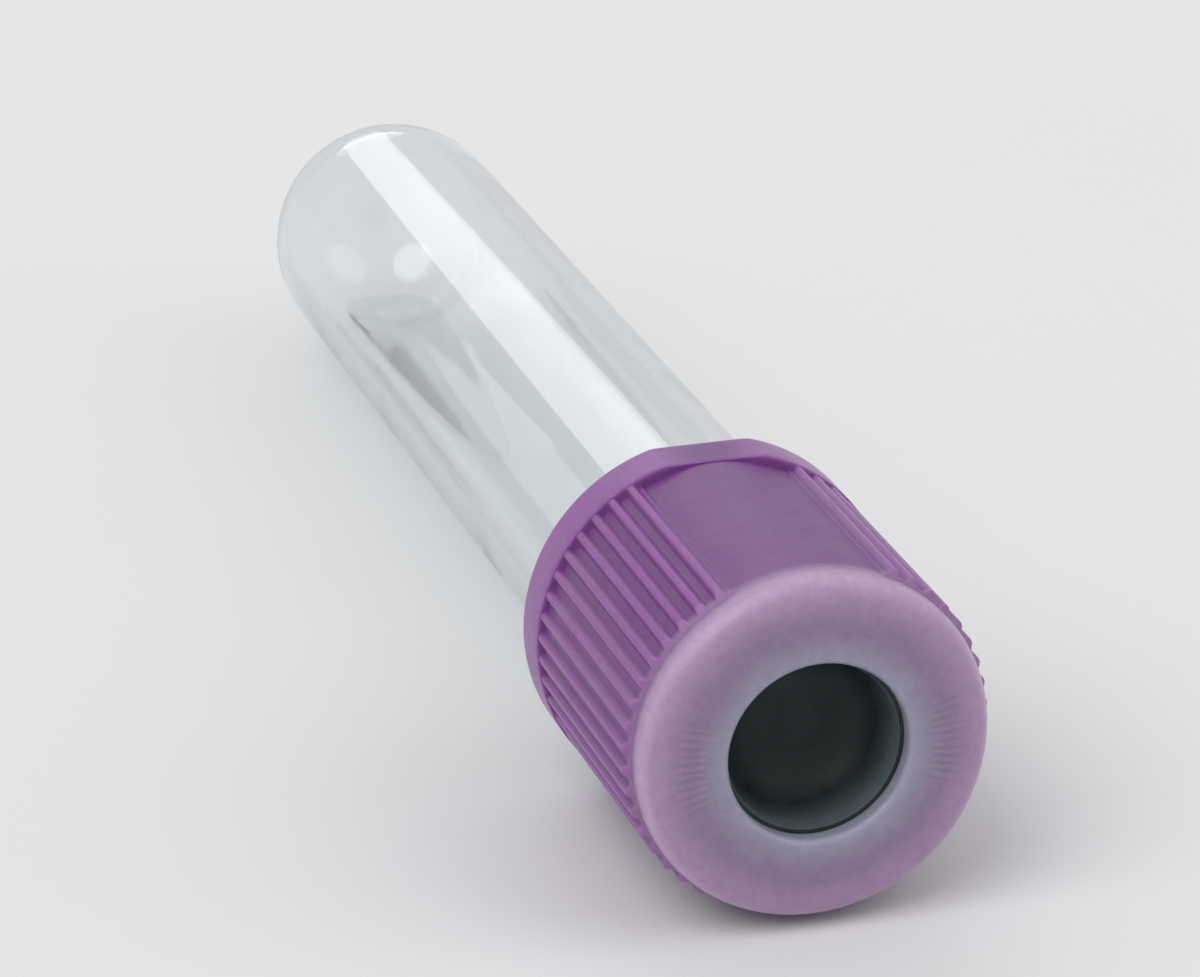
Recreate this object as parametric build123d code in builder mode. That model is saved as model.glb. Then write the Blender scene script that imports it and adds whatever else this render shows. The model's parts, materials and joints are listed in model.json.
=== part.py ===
"""Evacuated blood collection tube with a capped rubber stopper, lying at rest on its side.

Four pieces: the clear plastic tube, the pool of liquid additive in its round end, the rubber
stopper that seals its mouth, and the ribbed cap that carries the stopper. Units are millimetres.
The tube's axis runs towards +X at the cap, and the floor is Z = 0.
"""

import os
from math import acos, atan2, cos, hypot, sin

from build123d import *

# Tube: a straight barrel with a hemispherical end
tube_diameter = 13.0
tube_wall = 1.0
tube_length = 75.0
rim_bevel = 0.35

# Additive: a shallow pool of anticoagulant on the lowest side of the round end
additive_depth = 0.7

# Stopper: a head seated on the tube's rim, and a hollow plug inside the mouth
seal_clearance = 0.05
head_height = 3.9
head_lip = 0.6
head_bevel = 0.25
plug_length = 8.5
plug_relief = 0.2
plug_lead_in = 0.6
seal_band_width = 1.4
seal_band_pitch = 3.0
seal_band_count = 2
hollow_diameter = 6.6
hollow_bevel = 1.0
septum_thickness = 3.0
well_diameter = 7.9
well_depth = 3.3
well_bevel = 1.2

# Cap: a moulded shell with a hole over the stopper's needle well
cap_hole_diameter = 8.3
cap_hole_bevel = 0.35
cap_plate = 0.9
cap_wall = 0.95
cap_height = 17.5
cap_shoulder = 1.2
cap_head_clearance = 0.05
bead_clearance = 0.3
bead_height = 1.2
skirt_clearance = 0.5

# Finger grip: ribbed sectors on either side, with plain windows above and below between them
grip_sectors = 2
first_sector = 90
grip_step = 0.1
grip_drop = 0.4
ribs_per_turn = 50
ribs_per_sector = 18
rib_height = 0.25
rib_base_width = 0.7
rib_crest_width = 0.2

# Ring: a smooth band at the skirt's end, cut flat under each window
ring_height = 2.4
ring_step = 0.4
ring_chamfer = 0.15
flat_step = 0.05

# Radii, and heights along the tube's axis from the round end, that follow from these
tube_radius = tube_diameter / 2
bore_radius = tube_radius - tube_wall
plug_radius = bore_radius - seal_clearance
plug_end = tube_length - plug_length
head_radius = tube_radius + head_lip
head_top = tube_length + head_height
well_radius = well_diameter / 2
well_floor = head_top - well_depth
hollow_radius = hollow_diameter / 2
hollow_top = well_floor - septum_thickness
chamber_radius = head_radius + cap_head_clearance
hole_radius = cap_hole_diameter / 2
cap_radius = chamber_radius + cap_wall
cap_top = head_top + cap_plate
cap_end = cap_top - cap_height
bead_radius = tube_radius + bead_clearance
skirt_radius = tube_radius + skirt_clearance
root_radius = cap_radius + grip_step
crest_radius = root_radius + rib_height
grip_top = cap_top - cap_shoulder - grip_drop
ring_top = cap_end + ring_height
ring_radius = cap_radius + ring_step
ring_edge = ring_radius - ring_chamfer
flat_radius = cap_radius + flat_step
rib_pitch = 360 / ribs_per_turn
rib_span = (ribs_per_sector - 1) * rib_pitch
sector_angle = ribs_per_sector * rib_pitch

# Rest: the ring's lower flat touches the floor at the skirt's end, and the round end touches it too
foot_reach = cap_end - tube_radius
rest_tilt = acos(tube_radius / hypot(foot_reach, flat_radius)) - atan2(foot_reach, flat_radius)
tilt_sin = sin(rest_tilt)
tilt_cos = cos(rest_tilt)

# The overall length is centred on the origin
round_end_reach = tube_radius * (tilt_cos - 1)
cap_reach = (
    (cap_top - cap_shoulder) * tilt_cos
    + (cap_radius - cap_shoulder) * tilt_sin
    + cap_shoulder
)
apex_x = -(round_end_reach + cap_reach) / 2
apex_z = tube_radius * (1 - tilt_sin)

# Frames: "upright" has its origin at the tube's round end and its Z along the tube's axis;
# "section" holds half sections, with the radius as X (upwards) and the height as Y
upright = Plane((apex_x, 0, apex_z), x_dir=(-tilt_sin, 0, tilt_cos), z_dir=(tilt_cos, 0, tilt_sin))
section = Plane(upright.origin, x_dir=upright.x_dir, z_dir=-upright.y_dir)
tube_axis = Axis(upright.origin, upright.z_dir)
FIT = 1e-4


def ring_section(inner, outer, low, high, mode=Mode.ADD):
    """Draw a section's rectangle from radius inner to outer and from height low to high."""
    with Locations(((inner + outer) / 2, (low + high) / 2)):
        Rectangle(outer - inner, high - low, mode=mode)


def circles(solid, radius, height):
    """Return the solid's edges that run round the axis at this radius and height."""
    rings = solid.edges().filter_by(GeomType.CIRCLE).filter_by(lambda edge: abs(edge.radius - radius) < FIT)
    return rings.filter_by(lambda edge: abs(upright.to_local_coords(edge.arc_center).Z - height) < FIT)


# Tube
with BuildPart() as tube:
    with BuildSketch(section):
        with BuildLine():
            CenterArc((0, tube_radius), tube_radius, -90, 90)
            Polyline(
                (tube_radius, tube_radius),
                (tube_radius, tube_length),
                (bore_radius, tube_length),
                (bore_radius, tube_radius),
            )
            CenterArc((0, tube_radius), bore_radius, 0, -90)
            Line((0, tube_wall), (0, 0))
        make_face()
    revolve(axis=tube_axis)
    rim = tube.faces().sort_by(tube_axis)[-1]
    chamfer(rim.edges(), rim_bevel)
tube.part.label = "tube"

# Additive: what the bore holds below a level surface
with BuildPart() as edta_additive:
    with BuildSketch(section):
        with BuildLine():
            CenterArc((0, tube_radius), bore_radius, -90, 90)
            Polyline((bore_radius, tube_radius), (bore_radius, plug_end), (0, plug_end), (0, tube_wall))
        make_face()
    revolve(axis=tube_axis)
    split(bisect_by=Plane.XY.offset(tube_wall + additive_depth), keep=Keep.BOTTOM)
edta_additive.part.label = "edta_additive"

# Stopper: head and plug, with the needle well and the hollow on either side of the septum
with BuildPart() as stopper:
    with BuildSketch(section):
        ring_section(0, head_radius, tube_length, head_top)
        ring_section(0, plug_radius - plug_relief, plug_end, tube_length)
        for band in range(seal_band_count):
            band_low = plug_end + plug_lead_in + band * seal_band_pitch
            ring_section(0, plug_radius, band_low, band_low + seal_band_width)
        ring_section(0, well_radius, well_floor, head_top, mode=Mode.SUBTRACT)
        ring_section(0, hollow_radius, plug_end, hollow_top, mode=Mode.SUBTRACT)
    revolve(axis=tube_axis)
    chamfer(circles(stopper, head_radius, head_top), head_bevel)
    chamfer(circles(stopper, well_radius, well_floor), well_bevel)
    chamfer(circles(stopper, hollow_radius, hollow_top), hollow_bevel)
    chamfer(circles(stopper, plug_radius - plug_relief, plug_end), plug_relief)
stopper.part.label = "stopper"

# Cap: the ring and the grip's ribbed sectors, bevelled by cones, then the shell and its cavity
with BuildPart() as cap:
    with BuildSketch(upright.offset(cap_end)):
        Circle(ring_radius)
        Rectangle(2 * flat_radius, 2 * ring_radius, mode=Mode.INTERSECT)
    extrude(amount=ring_height)
    with BuildSketch(upright.offset(ring_top)):
        for sector in range(grip_sectors):
            middle = first_sector + sector * 360 / grip_sectors
            with BuildLine():
                root = CenterArc((0, 0), root_radius, middle - sector_angle / 2, sector_angle)
                Polyline(root @ 1, (0, 0), root @ 0)
            make_face()
            with PolarLocations(root_radius, ribs_per_sector, middle - rib_span / 2, rib_span, endpoint=True):
                Polygon(
                    (-grip_step, -rib_base_width / 2),
                    (0, -rib_base_width / 2),
                    (rib_height, -rib_crest_width / 2),
                    (rib_height, rib_crest_width / 2),
                    (0, rib_base_width / 2),
                    (-grip_step, rib_base_width / 2),
                )
    extrude(amount=grip_top - ring_top)
    with BuildSketch(section):
        with BuildLine():
            bevel = 2 * ring_step
            Polyline(
                (0, cap_end),
                (ring_edge, cap_end),
                (ring_edge + bevel, cap_end + bevel),
                (cap_radius + bevel, grip_top - bevel),
                (cap_radius, grip_top),
                (0, grip_top),
                close=True,
            )
        make_face()
    revolve(axis=tube_axis, mode=Mode.INTERSECT)
    with BuildSketch(section):
        with BuildLine():
            shoulder = CenterArc(
                (cap_radius - cap_shoulder, cap_top - cap_shoulder), cap_shoulder, 0, 90
            )
            Polyline(
                shoulder @ 1,
                (0, cap_top),
                (0, cap_end),
                (cap_radius, cap_end),
                shoulder @ 0,
            )
        make_face()
    revolve(axis=tube_axis)
    with BuildSketch(section):
        ring_section(0, skirt_radius, cap_end, tube_length - bead_height)
        ring_section(0, bead_radius, cap_end, tube_length)
        ring_section(0, chamber_radius, tube_length, head_top)
        ring_section(0, hole_radius, head_top, cap_top)
    revolve(axis=tube_axis, mode=Mode.SUBTRACT)
    chamfer(circles(cap, hole_radius, cap_top), cap_hole_bevel)
cap.part.label = "cap"

os.makedirs("parts", exist_ok=True)
for piece in (tube, edta_additive, stopper, cap):
    export_step(piece.part, f"parts/{piece.part.label}.step")
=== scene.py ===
"""Dresses the blood collection tube: clear barrel, additive pool, rubber stopper and ribbed cap."""

import json
from math import cos, pi, radians, sin, sqrt, tan

import bmesh
import bpy
import numpy as np
from bpy.props import FloatProperty, FloatVectorProperty, IntProperty, PointerProperty
from bpy.types import Operator, Panel, PropertyGroup
from mathutils import Matrix, Vector


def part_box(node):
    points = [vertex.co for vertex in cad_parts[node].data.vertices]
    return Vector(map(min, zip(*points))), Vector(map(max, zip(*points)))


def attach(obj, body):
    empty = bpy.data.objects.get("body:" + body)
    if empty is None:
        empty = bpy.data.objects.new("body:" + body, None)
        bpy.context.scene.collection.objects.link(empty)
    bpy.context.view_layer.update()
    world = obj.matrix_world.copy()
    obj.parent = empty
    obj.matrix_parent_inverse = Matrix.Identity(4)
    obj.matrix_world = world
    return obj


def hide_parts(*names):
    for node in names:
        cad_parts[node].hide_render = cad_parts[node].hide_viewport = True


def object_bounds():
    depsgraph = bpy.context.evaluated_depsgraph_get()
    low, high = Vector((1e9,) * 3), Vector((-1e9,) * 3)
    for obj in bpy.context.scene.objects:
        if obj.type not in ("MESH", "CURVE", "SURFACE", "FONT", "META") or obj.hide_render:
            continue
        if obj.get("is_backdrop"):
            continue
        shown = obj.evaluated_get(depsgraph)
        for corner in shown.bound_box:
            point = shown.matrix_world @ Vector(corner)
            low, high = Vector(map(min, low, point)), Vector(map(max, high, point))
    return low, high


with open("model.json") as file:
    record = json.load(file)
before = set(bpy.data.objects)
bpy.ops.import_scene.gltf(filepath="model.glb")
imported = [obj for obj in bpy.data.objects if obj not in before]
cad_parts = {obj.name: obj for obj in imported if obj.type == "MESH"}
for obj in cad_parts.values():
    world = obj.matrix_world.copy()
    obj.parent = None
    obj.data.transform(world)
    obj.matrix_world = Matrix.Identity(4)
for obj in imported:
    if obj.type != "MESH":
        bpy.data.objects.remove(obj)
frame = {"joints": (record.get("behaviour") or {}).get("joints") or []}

bl_info = {
    "name": "Blood Collection Tube",
    "version": (1, 0, 0),
    "blender": (4, 5, 0),
    "location": "3D View > Sidebar > Blood Tube",
    "description": "Builds a capped blood collection tube lying on a pale bench",
    "category": "Add Mesh",
}

MM = 0.001

# Points in a row round each piece
BARREL_COLUMNS = 256
STOPPER_COLUMNS = 192
COLUMNS_PER_RIB = 16

# A row smaller than this, in metres, is one point, and a fold sharper than this is an edge
SAME_POINT = 1e-7
SHARP_ANGLE = radians(38)

# The range that a noise mostly keeps to, and the share of light that a clear piece lets through
NOISE_LOW, NOISE_HIGH = 0.3, 0.7
LIGHT_THROUGH = 0.95

# The share of the way from the cap's face to the round end that the camera aims at
AIM_SHARE = 0.42


def length(name, description, millimetres):
    """Return a length property whose default is given in millimetres."""
    return FloatProperty(
        name=name,
        description=description,
        default=millimetres * MM,
        min=0.0,
        precision=5,
        subtype="DISTANCE",
        unit="LENGTH",
    )


def angle(name, description, degrees):
    """Return an angle property whose default is given in degrees."""
    return FloatProperty(name=name, description=description, default=radians(degrees), subtype="ANGLE")


def count(name, description, default):
    """Return a property for a number of features."""
    return IntProperty(name=name, description=description, default=default, min=1)


def number(name, description, default):
    """Return a property for a plain number."""
    return FloatProperty(name=name, description=description, default=default, min=0.0)


def colour(name, description, default):
    """Return a colour property, with its default as linear red, green and blue."""
    return FloatVectorProperty(
        name=name, description=description, default=default, size=3, min=0.0, max=1.0, subtype="COLOR"
    )


class BarrelSettings(PropertyGroup):
    """Sizes and colour of the clear tube and its additive."""

    diameter: length("Diameter", "Outer diameter of the tube", 13.0)
    wall: length("Wall", "Thickness of the tube's wall", 1.0)
    length: length("Length", "Length of the tube from its round end to its rim", 75.0)
    rim_round: length("Rim Rounding", "Radius on the edges of the tube's rim", 0.35)
    gate_radius: length("Gate Radius", "Radius of the moulding mark on the round end", 1.1)
    gate_depth: length("Gate Depth", "Depth of the moulding mark on the round end", 0.06)
    additive_gap: length("Additive Gap", "Space between the additive and the bore", 0.03)
    meniscus: length("Meniscus", "How far the additive climbs the bore", 0.12)
    plastic: colour("Plastic Colour", "Tint of the clear plastic's surface", (0.985, 0.99, 0.99))
    depth: colour("Depth Colour", "Colour that light takes on inside the plastic", (0.8, 0.855, 0.875))
    density: number("Depth Density", "How strongly the plastic colours light, for each metre", 360.0)
    additive: colour("Additive Colour", "Tint of the liquid additive", (0.93, 0.94, 0.92))


class StopperSettings(PropertyGroup):
    """Sizes and colour of the rubber stopper."""

    head_radius: length("Head Radius", "Radius of the head seated on the tube's rim", 7.1)
    head_height: length("Head Height", "Height of the head over the tube's rim", 3.9)
    head_round: length("Head Rounding", "Radius on the edge of the head", 0.25)
    plug_radius: length("Plug Radius", "Radius of the plug's seal bands", 5.45)
    plug_relief: length("Plug Relief", "Depth of the plug's waist between its seal bands", 0.2)
    plug_length: length("Plug Length", "How far the plug reaches into the tube", 8.5)
    plug_lead_in: length("Plug Lead In", "Distance from the plug's end to its first seal band", 0.6)
    band_width: length("Band Width", "Width of a seal band", 1.4)
    band_pitch: length("Band Pitch", "Distance from one seal band to the next", 3.0)
    band_count: count("Band Count", "Number of seal bands", 2)
    well_radius: length("Well Radius", "Radius of the needle well", 3.95)
    well_depth: length("Well Depth", "Depth of the needle well", 3.3)
    well_round: length("Well Rounding", "Radius between the well's wall and its floor", 2.2)
    hollow_radius: length("Hollow Radius", "Radius of the hollow under the septum", 3.3)
    hollow_round: length("Hollow Rounding", "Radius at the top of the hollow", 1.1)
    septum: length("Septum", "Thickness of the rubber that the needle goes through", 3.0)
    rubber: colour("Rubber Colour", "Colour of the stopper's rubber", (0.013, 0.0205, 0.0215))
    # Painted light: a pale teal grey on the needle well's upper wall stands for light catching there, and the
    # well's floor stays dark rubber
    painted_well_light: colour("Painted Well Light Colour", "Colour of the bloom on the needle well's wall", (0.1, 0.13, 0.145))


class CapSettings(PropertyGroup):
    """Sizes and colours of the ribbed cap."""

    radius: length("Shell Radius", "Outer radius of the cap between its ribs and in its windows", 8.1)
    height: length("Height", "Height of the cap from its ring's end to its face", 17.5)
    plate: length("Plate", "Thickness of the cap's face", 0.9)
    shoulder: length("Shoulder", "Radius between the cap's face and its side", 1.2)
    hole_radius: length("Hole Radius", "Radius of the hole over the needle well", 4.15)
    lip_round: length("Lip Rounding", "Radius on the hole's upper edge", 0.3)
    chamber_radius: length("Chamber Radius", "Inner radius round the stopper's head", 7.15)
    bead_radius: length("Bead Radius", "Inner radius of the bead under the stopper's head", 6.8)
    bead_height: length("Bead Height", "Height of the bead", 1.2)
    skirt_radius: length("Skirt Radius", "Inner radius of the skirt", 7.0)
    grip_step: length("Grip Step", "How far the ribbed sectors stand out from the windows", 0.1)
    grip_drop: length("Grip Drop", "Distance from the shoulder to the top of the ribs", 0.4)
    rib_height: length("Rib Height", "Height of a rib", 0.25)
    rib_base: length("Rib Base", "Width of a rib at its root", 0.7)
    rib_crest: length("Rib Crest", "Width of a rib at its crest", 0.2)
    ribs_per_turn: count("Ribs per Turn", "Rib spacing, as ribs in a full turn", 50)
    ribs_per_sector: count("Ribs per Sector", "Ribs in each ribbed sector", 18)
    ring_radius: length("Ring Radius", "Radius of the smooth ring at the skirt's end", 8.5)
    ring_height: length("Ring Height", "Height of the smooth ring", 2.4)
    ring_round: length("Ring Rounding", "Radius on the ring's lower edge", 0.15)
    flat_radius: length("Flat Radius", "Distance from the axis to the ring's flats", 8.15)
    tick_depth: length("Tick Depth", "Depth of the fine moulded ticks on the face", 0.05)
    tick_start: length("Tick Start", "Distance from the hole to the ticks", 0.9)
    tick_length: length("Tick Length", "Length of a tick", 1.7)
    tick_arc: angle("Tick Arc", "Angle that the ticks take up on each side of the hole", 48.0)
    face: colour("Face Colour", "Colour of the face over the rubber", (0.262, 0.188, 0.305))
    # Painted highlight: a thin pale line painted all round where the face turns into the side
    turn: colour("Painted Rim Highlight Colour", "Colour of the line where the face turns into the side", (0.56, 0.41, 0.59))
    # The edge's lighter pink is partly the plastic with no rubber under it, and partly a painted highlight
    # and glow along the rounded edge
    edge: colour("Edge Colour", "Colour of the face's rounded edge", (0.41, 0.272, 0.435))
    # The lip's paler teal grey is partly the thin plastic round the hole and partly a painted highlight on
    # the hole's rounded edge
    lip_with_highlight: colour("Lip Colour", "Colour of the hole's lip", (0.3, 0.301, 0.38))
    skirt: colour("Skirt Colour", "Colour of the side and the ribs", (0.254, 0.089, 0.305))
    # Painted shade: the grooves between the ribs and the windows are painted a darker, deeper violet
    painted_groove_shade: colour("Painted Groove Shade Colour", "Colour between the ribs", (0.14, 0.028, 0.185))


class StudioSettings(PropertyGroup):
    """The bench, the lamps and the camera."""

    bench: colour("Bench Colour", "Colour of the bench", (0.76, 0.76, 0.77))
    bench_size: length("Bench Size", "Width of the bench", 3000.0)
    lamp_strength: number("Lamp Strength", "Strength of the main lamp in watts per square metre", 1.25)
    sky: number("Sky Strength", "Strength of the light from all round", 0.55)
    azimuth: angle("Azimuth", "Direction of the camera round the tube", 70.8)
    elevation: angle("Elevation", "Height of the camera over the bench", 25.6)
    distance: length("Distance", "Distance from the camera to the cap's face", 240.0)
    lens: FloatProperty(
        name="Lens",
        description="Focal length of the camera",
        default=165.0,
        min=1.0,
        unit="CAMERA",
        subtype="DISTANCE_CAMERA",
    )


# Places: the tube's own frame has its origin at the round end, X up and Z along the tube

def tube_frame():
    """Return the matrix from the tube's own frame to the world, read from the CAD node and its joint."""
    radius = bpy.context.scene.tube_barrel.diameter / 2
    low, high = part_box("tube")
    along = Vector(frame["joints"][0]["axis"]).normalized()
    centre = Vector((low.x + radius, (low.y + high.y) / 2, low.z + radius))
    across = Vector((0.0, -1.0, 0.0))
    place = Matrix((across.cross(along), across, along)).transposed().to_4x4()
    place.translation = centre - along * radius
    return place


def direction(turn, lift):
    """Return the unit vector at an angle round the tube, from the front, and at an angle over the bench."""
    return Vector((sin(turn) * cos(lift), -cos(turn) * cos(lift), sin(lift)))


# Meshes

def rounded(corners, steps=6):
    """Return a line of (radius, height) points, with each (radius, height, rounding) corner as an arc."""
    points = [Vector(corner[:2]) for corner in corners]
    line = []
    for index, corner in enumerate(corners):
        here = points[index]
        if len(corner) < 3 or index in (0, len(corners) - 1):
            line.append(here)
            continue
        before = (points[index - 1] - here).normalized()
        after = (points[index + 1] - here).normalized()
        half = before.angle(after) / 2
        middle = here + (before + after).normalized() * (corner[2] / sin(half))
        start = here + before * (corner[2] / tan(half)) - middle
        end = here + after * (corner[2] / tan(half)) - middle
        sweep = start.angle(end)
        for step in range(steps + 1):
            share = step / steps
            arm = start * sin((1 - share) * sweep) + end * sin(share * sweep)
            line.append(middle + arm / sin(sweep))
    return [tuple(point) for point in line]


def turned(line, columns):
    """Return rows of points round the tube's axis, one row for each (radius, height) of the line."""
    turn = np.arange(columns) * (2 * pi / columns)
    radius, height = np.array(line).T[:, :, None]
    return np.stack([radius * np.cos(turn), radius * np.sin(turn), height + 0 * turn], axis=2)


def piece_from_rows(name, rows, closed, place, finish):
    """Make an object from rows of points that run round it, with its rows closed into a loop if asked."""
    shape = bmesh.new()
    rings = []
    for row in rows:
        if np.ptp(row, axis=0).max() < SAME_POINT:
            rings.append([shape.verts.new(row[0])] * len(row))
        else:
            rings.append([shape.verts.new(point) for point in row])
    pairs = list(zip(rings, rings[1:]))
    if closed:
        pairs.append((rings[-1], rings[0]))
    for lower, upper in pairs:
        for index in range(len(lower)):
            following = (index + 1) % len(lower)
            ring = [lower[index], lower[following], upper[following], upper[index]]
            corners = list(dict.fromkeys(ring))
            if len(corners) > 2:
                shape.faces.new(corners)
    bmesh.ops.recalc_face_normals(shape, faces=shape.faces)
    mesh = bpy.data.meshes.new(name)
    shape.to_mesh(mesh)
    shape.free()
    mesh.shade_smooth()
    mesh.set_sharp_from_angle(angle=SHARP_ANGLE)
    mesh.materials.append(finish)
    mesh.transform(place)
    made = bpy.data.objects.new(name, mesh)
    bpy.context.scene.collection.objects.link(made)
    return made


# Finishes

def new_finish(name):
    """Return a new material, its node tree and its shader."""
    finish = bpy.data.materials.new(name)
    finish.use_nodes = True
    tree = finish.node_tree
    return finish, tree, tree.nodes["Principled BSDF"]


def add_node(tree, kind, inputs=(), **options):
    """Add a node, set its options, and set or link each input by its name or number."""
    made = tree.nodes.new(kind)
    for key, value in options.items():
        setattr(made, key, value)
    for key, value in dict(inputs).items():
        if isinstance(value, bpy.types.NodeSocket):
            tree.links.new(value, made.inputs[key])
        else:
            made.inputs[key].default_value = value
    return made


def feed(tree, shader, links):
    """Link outputs to the shader's inputs by name."""
    for key, value in links.items():
        tree.links.new(value, shader.inputs[key])


def on_the_tube(tree):
    """Return the place on the piece in the tube's own frame, in millimetres."""
    place = tube_frame()
    settings = {
        "Vector": add_node(tree, "ShaderNodeTexCoord").outputs["Object"],
        "Location": place.translation,
        "Rotation": place.to_euler(),
        "Scale": (MM, MM, MM),
    }
    return add_node(tree, "ShaderNodeMapping", settings, vector_type="TEXTURE").outputs[0]


def noise(tree, place, scale, detail=3.0, roughness=0.55):
    """Return a noise of the given features per millimetre."""
    settings = {"Vector": place, "Scale": scale, "Detail": detail, "Roughness": roughness}
    return add_node(tree, "ShaderNodeTexNoise", settings).outputs["Fac"]


def spread(tree, value, low, high, to_low, to_high):
    """Return a value carried from one range to another, and held at its ends."""
    settings = {"Value": value, "From Min": low, "From Max": high, "To Min": to_low, "To Max": to_high}
    return add_node(tree, "ShaderNodeMapRange", settings).outputs["Result"]


def vary(tree, pattern, to_low, to_high):
    """Return a noise with the range that it mostly keeps to carried to another one."""
    return spread(tree, pattern, NOISE_LOW, NOISE_HIGH, to_low, to_high)


def product(tree, first, second):
    """Return the product of two values."""
    return add_node(tree, "ShaderNodeMath", {0: first, 1: second}, operation="MULTIPLY").outputs[0]


def total(tree, first, second):
    """Return the sum of two values."""
    return add_node(tree, "ShaderNodeMath", {0: first, 1: second}, operation="ADD").outputs[0]


def grey(tree, value):
    """Return a value as a grey colour."""
    return add_node(tree, "ShaderNodeCombineColor", {0: value, 1: value, 2: value}).outputs[0]


def radius_and_height(tree, place):
    """Return the distance from the tube's axis, and the height along it."""
    parts = add_node(tree, "ShaderNodeSeparateXYZ", {"Vector": place}).outputs
    flat = add_node(tree, "ShaderNodeCombineXYZ", {"X": parts["X"], "Y": parts["Y"]}).outputs[0]
    radius = add_node(tree, "ShaderNodeVectorMath", {0: flat}, operation="LENGTH").outputs["Value"]
    return radius, parts["Z"]


def mixed(tree, share, first, second, blend="MIX"):
    """Return a mix of two colours."""
    node = add_node(tree, "ShaderNodeMix", data_type="RGBA", blend_type=blend)
    for key, value in zip((0, 6, 7), (share, first, second)):
        if isinstance(value, bpy.types.NodeSocket):
            tree.links.new(value, node.inputs[key])
        elif key == 0:
            node.inputs[key].default_value = value
        else:
            node.inputs[key].default_value = (*value, 1.0)
    return node.outputs[2]


def bump(tree, height, distance):
    """Return a normal pushed by a height, whose full range stands for a distance in metres."""
    return add_node(tree, "ShaderNodeBump", {"Height": height, "Distance": distance}).outputs["Normal"]


def let_light_through(tree, shader):
    """Let most of the light from the lamps and the bench pass straight through a clear piece."""
    rays = add_node(tree, "ShaderNodeLightPath").outputs
    share = {"Color": (LIGHT_THROUGH, LIGHT_THROUGH, LIGHT_THROUGH, 1.0)}
    clear = add_node(tree, "ShaderNodeBsdfTransparent", share).outputs[0]
    surface = shader.outputs[0]
    for ray in ("Is Shadow Ray", "Is Diffuse Ray"):
        surface = add_node(tree, "ShaderNodeMixShader", {0: rays[ray], 1: surface, 2: clear}).outputs[0]
    tree.links.new(surface, tree.nodes["Material Output"].inputs["Surface"])


def clear_plastic(barrel):
    """Clear moulded plastic with a faint haze, fine flow lines and a few handling marks."""
    finish, tree, shader = new_finish("clear_plastic")
    shader.inputs["Base Color"].default_value = (*barrel.plastic, 1.0)
    shader.inputs["IOR"].default_value = 1.57
    shader.inputs["Transmission Weight"].default_value = 1.0
    place = on_the_tube(tree)
    haze = noise(tree, place, 0.12, 2.0)
    drawn = add_node(tree, "ShaderNodeVectorMath", {0: place, 1: (3.0, 3.0, 0.12)}, operation="MULTIPLY")
    scuff = noise(tree, drawn.outputs[0], 0.8, 4.0, 0.6)
    rough = total(tree, vary(tree, haze, 0.01, 0.03), spread(tree, scuff, 0.66, 0.78, 0.0, 0.05))
    feed(tree, shader, {"Roughness": rough, "Normal": bump(tree, haze, 0.01 * MM)})
    let_light_through(tree, shader)
    inside = {"Color": (*barrel.depth, 1.0), "Density": barrel.density}
    absorption = add_node(tree, "ShaderNodeVolumeAbsorption", inside)
    tree.links.new(absorption.outputs[0], tree.nodes["Material Output"].inputs["Volume"])
    return finish


def liquid_additive(tint):
    """The clear liquid additive, with a faint ripple."""
    finish, tree, shader = new_finish("liquid_additive")
    shader.inputs["Base Color"].default_value = (*tint, 1.0)
    # Lower than water's, because the pool stands a hair clear of the wall that it wets
    shader.inputs["IOR"].default_value = 1.12
    shader.inputs["Transmission Weight"].default_value = 1.0
    ripple = noise(tree, on_the_tube(tree), 0.25, 2.0)
    feed(tree, shader, {"Roughness": vary(tree, ripple, 0.0, 0.012), "Normal": bump(tree, ripple, 0.01 * MM)})
    let_light_through(tree, shader)
    return finish


def stopper_rubber(stopper, head_top):
    """Greenish black moulded rubber with a satin skin, and painted light in teal grey on the upper part of
    the needle well's wall.
    """
    finish, tree, shader = new_finish("stopper_rubber")
    shader.inputs["IOR"].default_value = 1.52
    shader.inputs["Specular IOR Level"].default_value = 0.26
    place = on_the_tube(tree)
    radius, height = radius_and_height(tree, place)
    cloud = noise(tree, place, 0.4, 4.0)
    grain = noise(tree, place, 9.0, 3.0)
    paler = tuple(min(1.0, part * 1.9 + 0.004) for part in stopper.rubber)
    rubber = mixed(tree, spread(tree, cloud, 0.35, 0.7, 0.0, 1.0), stopper.rubber, paler)
    top = head_top / MM
    well = stopper.well_radius / MM
    # Painted light: the upper part of the well's wall is painted a paler teal grey, fading back to the plain
    # rubber towards the well's floor
    painted_well_light = product(
        tree,
        spread(tree, height, top - 2.2, top - 0.8, 0.0, 1.0),
        spread(tree, radius, well + 0.01, well + 0.03, 1.0, 0.0),
    )
    painted_well_light = product(tree, painted_well_light, vary(tree, cloud, 0.8, 1.0))
    tone = mixed(tree, painted_well_light, rubber, stopper.painted_well_light)
    rough = total(tree, vary(tree, cloud, 0.42, 0.55), vary(tree, grain, -0.05, 0.05))
    feed(tree, shader, {"Base Color": tone, "Roughness": rough, "Normal": bump(tree, grain, 0.02 * MM)})
    return finish


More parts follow.
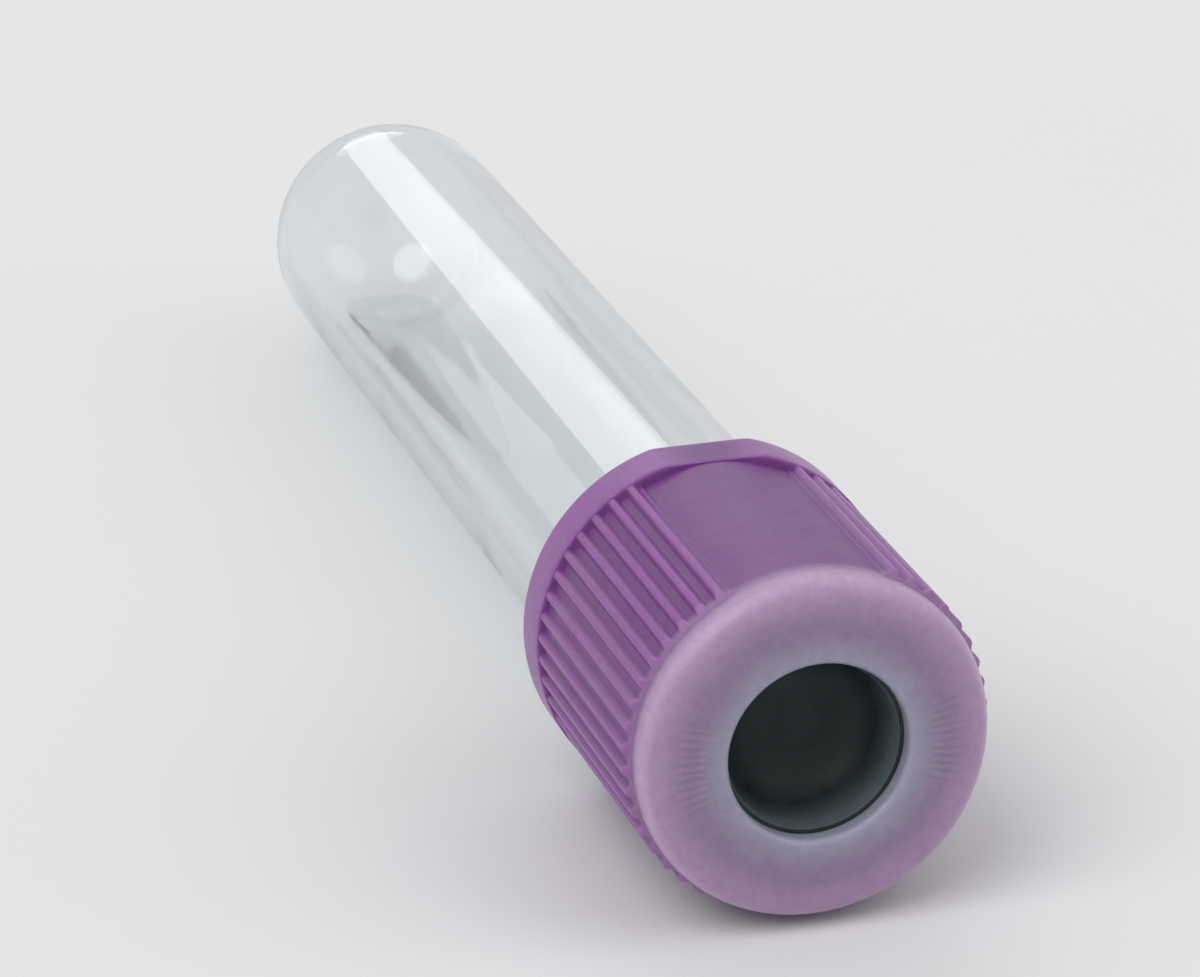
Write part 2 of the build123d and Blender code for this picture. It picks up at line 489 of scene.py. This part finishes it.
def cap_plastic(cap, face_height):
    """Slightly translucent moulded plastic, greyer over the rubber, with painted shade, darker and deeper in
    colour, between the ribs, and painted highlights towards the hole and the rim.
    """
    finish, tree, shader = new_finish("cap_plastic")
    shader.inputs["IOR"].default_value = 1.49
    shader.inputs["Specular IOR Level"].default_value = 0.4
    shader.inputs["Subsurface Weight"].default_value = 0.35
    shader.inputs["Subsurface Radius"].default_value = (1.0, 0.45, 1.0)
    shader.inputs["Subsurface Scale"].default_value = 1.2 * MM
    place = on_the_tube(tree)
    radius, height = radius_and_height(tree, place)
    cloud = noise(tree, place, 0.5, 4.0)
    wander = total(tree, radius, vary(tree, cloud, -0.14, 0.14))
    # Each colour runs into the next over a stretch of the radius or the height, in millimetres
    hole = cap.hole_radius / MM
    # Paler towards the hole: partly the thin plastic there, partly a painted highlight on the lip
    over_rubber = mixed(tree, spread(tree, wander, hole + 0.1, hole + 1.5, 0.0, 1.0), cap.lip_with_highlight, cap.face)
    rim = cap.radius / MM
    # Lighter and pinker towards the rim: partly the plastic clear of the rubber, partly a painted highlight
    # and glow on the rounded edge
    face = mixed(tree, spread(tree, wander, rim - 2.0, rim - 0.3, 0.0, 1.0), over_rubber, cap.edge)
    # Painted highlight: a thin pale line just inside the rim, all the way round
    face = mixed(tree, spread(tree, radius, rim - 0.45, rim - 0.15, 0.0, 0.45), face, cap.turn)
    root = (cap.radius + cap.grip_step) / MM
    # Painted shade: darker and deeper violet where the side lies nearer the axis, in the grooves, the windows
    # and the ring's flats
    side = mixed(tree, spread(tree, radius, root - 0.05, root + 0.3, 0.0, 1.0), cap.painted_groove_shade, cap.skirt)
    top = face_height / MM
    body = mixed(tree, spread(tree, height, top - 2.2, top - 0.7, 0.0, 1.0), side, face)
    mottle = vary(tree, noise(tree, place, 2.2, 5.0, 0.65), 0.92, 1.08)
    tone = mixed(tree, 1.0, body, grey(tree, mottle), "MULTIPLY")
    grain = noise(tree, place, 7.0, 3.0)
    scuff = noise(tree, place, 1.3, 6.0, 0.75)
    rough = total(tree, vary(tree, cloud, 0.3, 0.38), spread(tree, scuff, 0.6, 0.75, 0.0, 0.12))
    feed(tree, shader, {"Base Color": tone, "Roughness": rough, "Normal": bump(tree, grain, 0.025 * MM)})
    return finish


def bench_top(tint):
    """Pale matt bench with a faint cloudiness."""
    finish, tree, shader = new_finish("bench_top")
    place = on_the_tube(tree)
    cloud = vary(tree, noise(tree, place, 0.02, 4.0), 0.985, 1.0)
    shader.inputs["Roughness"].default_value = 0.7
    shader.inputs["Specular IOR Level"].default_value = 0.2
    feed(tree, shader, {"Base Color": mixed(tree, 1.0, tint, grey(tree, cloud), "MULTIPLY")})
    return finish


# Pieces

class TUBE_OT_barrel(Operator):
    """Build the clear round-bottomed tube"""

    bl_idname = "blood_tube.barrel"
    bl_label = "Clear Barrel"

    def execute(self, context):
        barrel = context.scene.tube_barrel
        outer = barrel.diameter / 2
        bore = outer - barrel.wall
        arc = np.linspace(0, pi / 2, 29)
        gate = barrel.gate_radius
        dip = barrel.gate_depth
        line = [(0.0, dip), (gate * 0.55, dip), (gate * 0.8, dip * 0.8)]
        line += [(outer * sin(a), outer - outer * cos(a)) for a in arc if outer * sin(a) > gate]
        line += rounded(
            [
                (outer, outer + 0.3 * MM),
                (outer, barrel.length - MM),
                (outer, barrel.length, barrel.rim_round),
                (bore, barrel.length, barrel.rim_round),
                (bore, barrel.length - MM),
                (bore, outer + 0.3 * MM),
            ]
        )
        line += [(bore * sin(a), outer - bore * cos(a)) for a in arc[::-1]]
        rows = turned(line, BARREL_COLUMNS)
        made = piece_from_rows("clear_barrel", rows, False, tube_frame(), clear_plastic(barrel))
        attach(made, "barrel")
        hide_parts("tube")
        return {"FINISHED"}


def pool_rows(barrel, place, level):
    """Return rows of points round the liquid, one row at each station along the tube, for a level surface."""
    outer = barrel.diameter / 2
    bore = outer - barrel.wall - barrel.additive_gap
    along, up = place.col[2].xyz, place.col[0].xyz

    def section(station):
        """Return the bore's radius at a station, and the liquid's height over the tube's axis there."""
        radius = np.sqrt(np.clip(bore**2 - np.clip(outer - station, 0, bore) ** 2, 0, None))
        return radius, (level - place.translation.z - station * along.z) / up.z

    reach = np.linspace(0, barrel.length, 6001)[1:-1]
    radius, height = section(reach)
    wet = reach[radius + height > 0]
    # Stations along the pool and points across it lie closer together towards its edges
    stations = wet[0] + (wet[-1] - wet[0]) * (1 - np.cos(np.linspace(0, pi, 65))) / 2
    side = np.sin(np.linspace(-pi / 2, pi / 2, 33))
    rows = []
    for station in stations:
        radius, height = section(station)
        climb = min(barrel.meniscus, max(radius + height, 0.0) * 0.4)
        contact = min(max(height + climb, -radius), 0.0)
        width = sqrt(max(radius**2 - contact**2, 0.0))
        over = width * side
        under = -np.sqrt(np.clip(radius**2 - over**2, 0, None))
        top = height + climb * np.exp(-(width - np.abs(over)) / (2.5 * barrel.meniscus))
        top = np.maximum(top, under)
        upper = np.stack([top, over, station + 0 * over], axis=1)
        lower = np.stack([under, over, station + 0 * over], axis=1)[::-1][1:-1]
        rows.append(np.concatenate([upper, lower]))
    # Both ends of the pool are drawn in to a point
    for end in (rows[0], rows[-1]):
        end[:] = end.mean(axis=0)
    return rows


class TUBE_OT_additive(Operator):
    """Build the pool of additive that lies level in the round end"""

    bl_idname = "blood_tube.additive"
    bl_label = "Additive Pool"

    def execute(self, context):
        barrel = context.scene.tube_barrel
        place = tube_frame()
        rows = pool_rows(barrel, place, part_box("edta_additive")[1].z)
        made = piece_from_rows("additive_pool", rows, False, place, liquid_additive(barrel.additive))
        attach(made, "barrel")
        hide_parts("edta_additive")
        return {"FINISHED"}


class TUBE_OT_stopper(Operator):
    """Build the rubber stopper with its needle well, septum and seal bands"""

    bl_idname = "blood_tube.stopper"
    bl_label = "Rubber Stopper"

    def execute(self, context):
        stopper = context.scene.tube_stopper
        rim = context.scene.tube_barrel.length
        top = rim + stopper.head_height
        end = rim - stopper.plug_length
        waist = stopper.plug_radius - stopper.plug_relief
        floor = top - stopper.well_depth
        ceiling = floor - stopper.septum
        soft = 0.1 * MM
        corners = [
            (0.0, floor),
            (stopper.well_radius, floor, stopper.well_round),
            (stopper.well_radius, top, 0.06 * MM),
            (stopper.head_radius, top, stopper.head_round),
            (stopper.head_radius, rim, soft),
            (waist, rim, soft),
        ]
        for band in reversed(range(stopper.band_count)):
            low = end + stopper.plug_lead_in + band * stopper.band_pitch
            high = low + stopper.band_width
            corners += [
                (waist, high, 0.08 * MM),
                (stopper.plug_radius, high, soft),
                (stopper.plug_radius, low, soft),
                (waist, low, 0.08 * MM),
            ]
        corners += [
            (waist, end, 0.2 * MM),
            (stopper.hollow_radius, end, 0.2 * MM),
            (stopper.hollow_radius, ceiling, stopper.hollow_round),
            (0.0, ceiling),
        ]
        rows = turned(rounded(corners), STOPPER_COLUMNS)
        made = piece_from_rows("rubber_stopper", rows, False, tube_frame(), stopper_rubber(stopper, top))
        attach(made, "closure")
        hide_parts("stopper")
        return {"FINISHED"}


def from_the_sides(turn):
    """Return each angle's distance from the nearer of the tube's left and right sides."""
    return np.abs(np.abs((turn + pi) % (2 * pi) - pi) - pi / 2)


def grip_lift(cap, turn):
    """Return how far the side stands out from the shell at each angle, for sectors facing left and right."""
    pitch = 2 * pi / cap.ribs_per_turn
    root = cap.radius + cap.grip_step
    away = from_the_sides(turn)
    sector = np.clip((cap.ribs_per_sector * pitch / 2 - away) / radians(0.45) + 0.5, 0, 1)
    offset = np.abs((turn + pitch / 2) % pitch - pitch / 2) * root
    slope = np.clip((cap.rib_base / 2 - offset) / (cap.rib_base / 2 - cap.rib_crest / 2), 0, 1)
    rib = slope * slope * (3 - 2 * slope)
    ribbed = away < (cap.ribs_per_sector - 0.01) * pitch / 2
    return cap.grip_step * sector + cap.rib_height * rib * ribbed


def level_rows(corners, turn, steps):
    """Return a line of (radius, height, rounding) corners as rows that are the same all round."""
    return [(radius + 0 * turn, height + 0 * turn) for radius, height in rounded(corners, steps)]


def face_rows(cap, turn, top):
    """Return the rows of the hole's edge, the ticks on either side of it, and the shoulder."""
    rows = level_rows(
        [
            (cap.hole_radius, top - cap.plate + 0.4 * MM),
            (cap.hole_radius, top, cap.lip_round),
            (cap.hole_radius + 0.6 * MM, top),
        ],
        turn,
        steps=8,
    )
    # The ticks fade out at both ends of each arc, and at both ends of each tick
    fade = np.clip((cap.tick_arc / 2 - from_the_sides(turn)) / (cap.tick_arc / 6), 0, 1)
    tick = cap.tick_depth * fade * (1 - np.cos(turn * 2 * cap.ribs_per_turn)) / 2
    for share, depth in ((0.0, 0.0), (0.1, 0.4), (0.25, 1.0), (0.75, 1.0), (0.9, 0.4), (1.0, 0.0)):
        radius = cap.hole_radius + cap.tick_start + cap.tick_length * share
        rows.append((radius + 0 * turn, top - depth * tick))
    shoulder = [
        (cap.radius - cap.shoulder - 0.1 * MM, top),
        (cap.radius, top, cap.shoulder),
        (cap.radius, top - cap.shoulder - cap.grip_drop + 0.1 * MM),
    ]
    return rows + level_rows(shoulder, turn, steps=12)


def side_rows(cap, turn, top):
    """Return the rows of the ribs' tops, the ribbed side and the ring, down to the skirt's end."""
    end = top - cap.height
    ring_top = end + cap.ring_height
    grip_top = top - cap.shoulder - cap.grip_drop
    half_way = (grip_top + ring_top) / 2
    flat = 0 * turn
    lift = grip_lift(cap, turn)
    wall = cap.radius + lift
    band = np.minimum(cap.ring_radius, cap.flat_radius / np.maximum(np.abs(np.cos(turn)), 1e-6))
    rows = []
    for drop in np.linspace(0, (cap.grip_step + cap.rib_height) * 1.15, 10):
        rows.append((cap.radius + np.minimum(lift, drop), grip_top - drop + flat))
    for height in (grip_top - 1.3 * MM, half_way, ring_top + 0.6 * MM, ring_top + 0.2 * MM):
        rows.append((wall, height + flat))
    # The ring's upper edge and the corner above it are rounded as far as the ring stands out there
    foot = np.minimum(0.12 * MM, 0.35 * (band - wall))
    rows.append((wall, ring_top + foot))
    rows.append((wall + 0.3 * foot, ring_top + 0.3 * foot))
    rows.append((wall + foot, ring_top + flat))
    rows.append((band - foot, ring_top + flat))
    rows.append((band - 0.3 * foot, ring_top - 0.3 * foot))
    rows.append((band, ring_top - foot))
    rows.append((band, ring_top - 0.4 * MM + flat))
    # The lower edge is an arc, and its last row is drawn in a hair so that the flats lose their edge too
    for lean in np.linspace(pi / 2, 0, 5):
        edge = cap.ring_radius - cap.ring_round * (1 - sin(lean))
        height = end + cap.ring_round * (1 - cos(lean))
        trim = 0.05 * MM * (lean == 0)
        rows.append((np.minimum(band, edge) - trim, height + flat))
    return rows


def inside_rows(cap, turn, top, rim):
    """Return the rows of the skirt's inside, the bead and the chamber, up to the hole."""
    end = top - cap.height
    head_top = top - cap.plate
    bead_end = rim - cap.bead_height
    soft = 0.08 * MM
    corners = [
        (cap.skirt_radius + 0.5 * MM, end),
        (cap.skirt_radius, end, 0.2 * MM),
        (cap.skirt_radius, bead_end, soft),
        (cap.bead_radius, bead_end, soft),
        (cap.bead_radius, rim, soft),
        (cap.chamber_radius, rim, soft),
        (cap.chamber_radius, head_top, 0.15 * MM),
        (cap.hole_radius, head_top, soft),
        (cap.hole_radius, head_top + 0.3 * MM),
    ]
    return level_rows(corners, turn, steps=2)


class TUBE_OT_cap(Operator):
    """Build the cap with its hole, ribbed sectors, windows and ring"""

    bl_idname = "blood_tube.cap"
    bl_label = "Ribbed Cap"

    def execute(self, context):
        cap = context.scene.tube_cap
        rim = context.scene.tube_barrel.length
        top = rim + context.scene.tube_stopper.head_height + cap.plate
        columns = COLUMNS_PER_RIB * cap.ribs_per_turn
        turn = np.arange(columns) * (2 * pi / columns)
        rows = face_rows(cap, turn, top) + side_rows(cap, turn, top) + inside_rows(cap, turn, top, rim)
        east, north = np.cos(turn), np.sin(turn)
        points = [np.stack([radius * east, radius * north, height], axis=1) for radius, height in rows]
        made = piece_from_rows("ribbed_cap", points, True, tube_frame(), cap_plastic(cap, top))
        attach(made, "closure")
        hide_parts("cap")
        return {"FINISHED"}


# Stage

def lay_bench(studio, centre):
    """Make the bench, with its top at this place."""
    shape = bmesh.new()
    bmesh.ops.create_grid(shape, x_segments=8, y_segments=8, size=studio.bench_size / 2)
    mesh = bpy.data.meshes.new("bench")
    shape.to_mesh(mesh)
    shape.free()
    mesh.materials.append(bench_top(studio.bench))
    bench = bpy.data.objects.new("bench", mesh)
    bench.location = centre
    bpy.context.scene.collection.objects.link(bench)
    return bench


def hang_lamps(studio, middle, distance):
    """Hang broad soft lamps round the tube."""
    # Each lamp's direction in degrees, round the tube and over the bench, and its share of the strength
    for name, turn, lift, share in (
        ("main_lamp", 30, 50, 1.0),
        ("side_lamp", 150, 40, 0.4),
        ("back_lamp", 265, 40, 0.3),
    ):
        light = bpy.data.lights.new(name, "SUN")
        light.angle = radians(45)
        light.energy = studio.lamp_strength * share
        away = direction(radians(turn), radians(lift))
        lamp = bpy.data.objects.new(name, light)
        lamp.location = middle + away * distance
        lamp.rotation_euler = away.to_track_quat("Z", "Y").to_euler()
        bpy.context.scene.collection.objects.link(lamp)


def studio_air(studio):
    """Return a world that lights the tube from all round and shows as the bench's colour."""
    world = bpy.data.worlds.new("studio_air")
    world.use_nodes = True
    tree = world.node_tree
    tree.nodes.clear()
    rays = add_node(tree, "ShaderNodeLightPath").outputs
    seen = rays["Is Camera Ray"]
    for ray in ("Is Glossy Ray", "Is Transmission Ray"):
        seen = add_node(tree, "ShaderNodeMath", {0: seen, 1: rays[ray]}, operation="MAXIMUM").outputs[0]
    lit = add_node(tree, "ShaderNodeBackground", {"Color": (1.0, 1.0, 1.0, 1.0), "Strength": studio.sky})
    shown = add_node(tree, "ShaderNodeBackground", {"Color": (*studio.bench, 1.0), "Strength": 1.0})
    both = add_node(tree, "ShaderNodeMixShader", {0: seen, 1: lit.outputs[0], 2: shown.outputs[0]})
    add_node(tree, "ShaderNodeOutputWorld", {"Surface": both.outputs[0]})
    return world


def set_up_camera(studio, face, round_end):
    """Return a camera that looks at the tube from over its cap's face."""
    camera = bpy.data.cameras.new("camera")
    camera.lens = studio.lens
    camera.sensor_width = 36.0
    camera.clip_start = 0.01
    camera.clip_end = 20.0
    made = bpy.data.objects.new("camera", camera)
    made.location = face + direction(studio.azimuth, studio.elevation) * studio.distance
    away = made.location - face.lerp(round_end, AIM_SHARE)
    made.rotation_euler = away.to_track_quat("Z", "Y").to_euler()
    bpy.context.scene.collection.objects.link(made)
    return made


class TUBE_OT_studio(Operator):
    """Set up the pale bench, the soft lamps and the camera"""

    bl_idname = "blood_tube.studio"
    bl_label = "Studio"

    def execute(self, context):
        scene = context.scene
        studio = scene.tube_studio
        low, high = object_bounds()
        middle = (low + high) / 2
        bench = lay_bench(studio, Vector((middle.x, middle.y, low.z)))
        bench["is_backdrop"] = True
        hang_lamps(studio, middle, 3 * (high - low).length)
        scene.world = studio_air(studio)

        place = tube_frame()
        reach = scene.tube_barrel.length + scene.tube_stopper.head_height + scene.tube_cap.plate
        scene.camera = set_up_camera(studio, place @ Vector((0, 0, reach)), place.translation)
        scene.view_settings.view_transform = "Standard"
        return {"FINISHED"}


class TUBE_PT_sidebar(Panel):
    """Lists the pieces and their settings"""

    bl_label = "Blood Tube"
    bl_idname = "TUBE_PT_sidebar"
    bl_space_type = "VIEW_3D"
    bl_region_type = "UI"
    bl_category = "Blood Tube"

    def draw(self, context):
        layout = self.layout
        for operators, settings in GROUPS:
            box = layout.box()
            for operator in operators:
                box.operator(operator.bl_idname)
            group = getattr(context.scene, settings)
            for name in group.bl_rna.properties.keys():
                if name not in ("rna_type", "name"):
                    box.prop(group, name)


GROUPS = (
    ((TUBE_OT_barrel, TUBE_OT_additive), "tube_barrel"),
    ((TUBE_OT_stopper,), "tube_stopper"),
    ((TUBE_OT_cap,), "tube_cap"),
    ((TUBE_OT_studio,), "tube_studio"),
)
SETTINGS = {
    "tube_barrel": BarrelSettings,
    "tube_stopper": StopperSettings,
    "tube_cap": CapSettings,
    "tube_studio": StudioSettings,
}
OPERATORS = (TUBE_OT_barrel, TUBE_OT_additive, TUBE_OT_stopper, TUBE_OT_cap, TUBE_OT_studio)


def register():
    """Register the classes and their settings."""
    for kind in (*SETTINGS.values(), *OPERATORS, TUBE_PT_sidebar):
        bpy.utils.register_class(kind)
    for name, kind in SETTINGS.items():
        setattr(bpy.types.Scene, name, PointerProperty(type=kind))


def unregister():
    """Take away the classes and their settings."""
    for name in SETTINGS:
        delattr(bpy.types.Scene, name)
    for kind in reversed((*SETTINGS.values(), *OPERATORS, TUBE_PT_sidebar)):
        bpy.utils.unregister_class(kind)


def main():
    """Build every piece and the stage."""
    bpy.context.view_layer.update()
    register()
    bpy.ops.blood_tube.barrel()
    bpy.ops.blood_tube.additive()
    bpy.ops.blood_tube.stopper()
    bpy.ops.blood_tube.cap()
    bpy.ops.blood_tube.studio()


if __name__ == "__main__":
    main()
